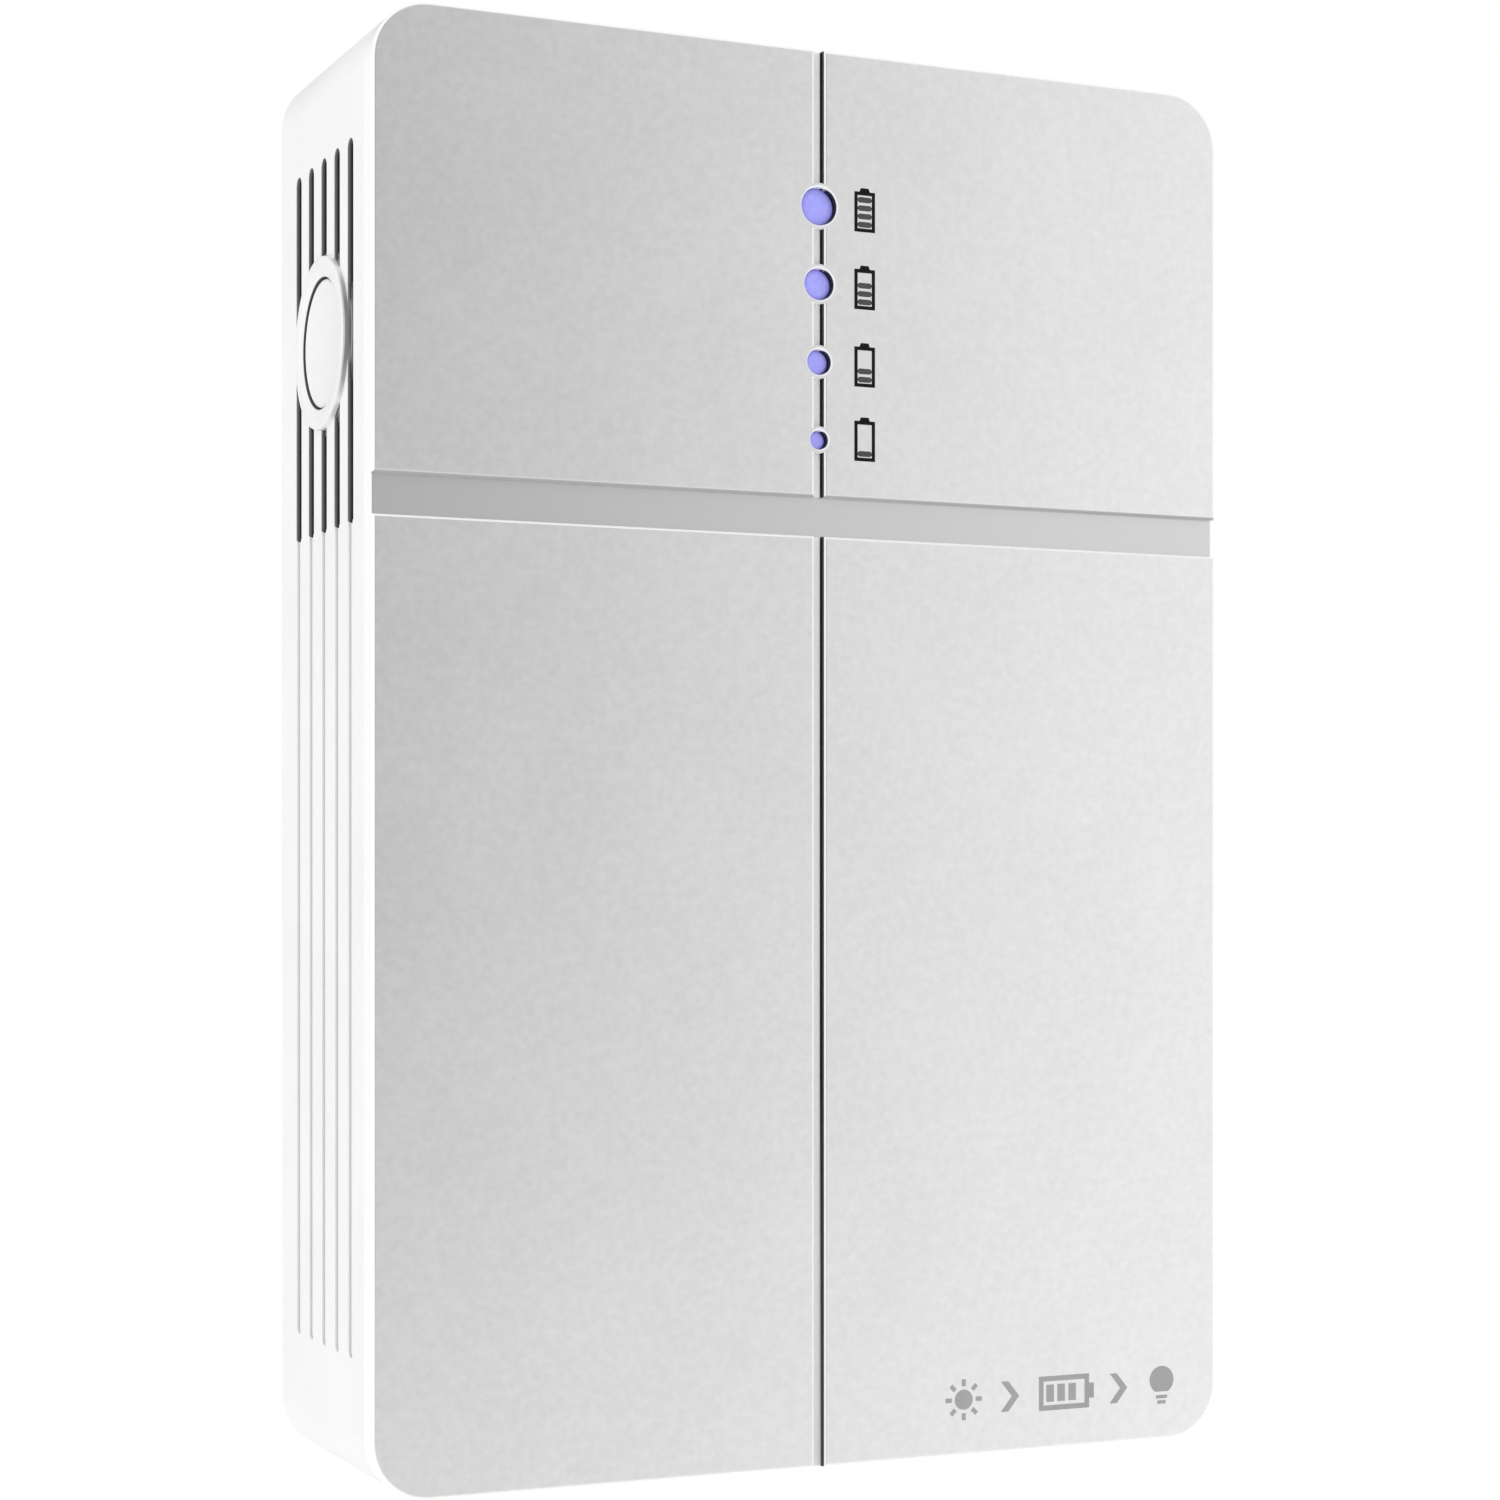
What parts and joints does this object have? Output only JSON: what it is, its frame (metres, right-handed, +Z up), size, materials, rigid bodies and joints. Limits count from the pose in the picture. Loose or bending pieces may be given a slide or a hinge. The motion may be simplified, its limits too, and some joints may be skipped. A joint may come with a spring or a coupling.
{
  "type": "wall battery unit",
  "caption": "Slim white wall-hung battery box: front panels split by a cross channel, charge windows beside pictograms, side vents round a push button, sockets in the base.",
  "frame": {"origin": "centre of the flat back face, which lies on the wall", "axes": "+X to the right as the front is faced, +Y into the wall, +Z up"},
  "size_m": [0.1318, 0.0455, 0.2],
  "materials": {
    "case_white": "satin",
    "front_pearl": "satin",
    "cap_white": "satin",
    "lens_violet": "gloss",
    "print_dark": "matte",
    "print_grey": "matte",
    "screw_steel": "satin",
    "spring_steel": "satin",
    "contact_nickel": "satin",
    "part_black": "matte",
    "board_green": "satin",
    "lamp_white": "gloss",
    "ribbon_grey": "satin",
    "socket_ivory": "satin",
    "ferrite_grey": "matte",
    "winding_copper": "gloss",
    "can_sleeve": "satin",
    "sink_aluminium": "satin",
    "fuse_ceramic": "satin",
    "cell_sleeve": "gloss",
    "sheet_barley": "matte",
    "foam_grey": "matte",
    "wire_black": "satin",
    "wire_red": "satin"
  },
  "bodies": {
    "case": {"battery_header": "socket_ivory", "bus_plate_link_1": "contact_nickel", "bus_plate_link_2": "contact_nickel", "bus_plate_negative": "contact_nickel", "bus_plate_positive": "contact_nickel", "button_board": "board_green", "button_pins": "contact_nickel", "button_ring": "case_white", "capacitors": "can_sleeve", "cell_combs": "part_black", "cell_group_1": "cell_sleeve", "cell_group_2": "cell_sleeve", "cell_group_3": "cell_sleeve", "charge_socket": "part_black", "control_board": "board_green", "control_screws": "screw_steel", "controller_chip": "part_black", "cover_screws": "screw_steel", "foam_pads": "foam_grey", "front_cover": "front_pearl", "fuse": "fuse_ceramic", "fuse_clips": "contact_nickel", "harness_headers": "socket_ivory", "heatsink": "sink_aluminium", "indicator_board": "board_green", "indicator_lamps": "lamp_white", "indicator_ribbon": "ribbon_grey", "indicator_screws": "screw_steel", "inductor_core": "ferrite_grey", "inductor_winding": "winding_copper", "insulators": "sheet_barley", "lead_board_negative": "wire_black", "lead_board_positive": "wire_red", "lead_pack_negative": "wire_black", "lead_pack_positive": "wire_red", "light_pipe_1": "lens_violet", "light_pipe_2": "lens_violet", "light_pipe_3": "lens_violet", "light_pipe_4": "lens_violet", "outlet_board": "board_green", "outlet_harness": "wire_black", "outlet_screws": "screw_steel", "power_socket_1": "part_black", "power_socket_2": "part_black", "power_socket_3": "part_black", "power_transistors": "part_black", "protection_board": "board_green", "protection_chips": "part_black", "protection_tape": "foam_grey", "rear_housing": "case_white", "ribbon_sockets": "socket_ivory", "socket_contacts": "contact_nickel", "socket_nuts": "contact_nickel", "switch_body": "part_black", "switch_spring": "spring_steel", "thermistor": "wire_black"},
    "button": {"button_cap": "cap_white", "switch_plunger": "part_black"}
  },
  "joints": [
    {"name": "button_press", "type": "slide", "parent": "case", "child": "button", "axis": [1, 0, 0], "range_m": [0, 0.0015], "stiffness_N_per_m": 1000, "springref_m": -0.0015, "deforming": ["switch_spring"]}
  ]
}
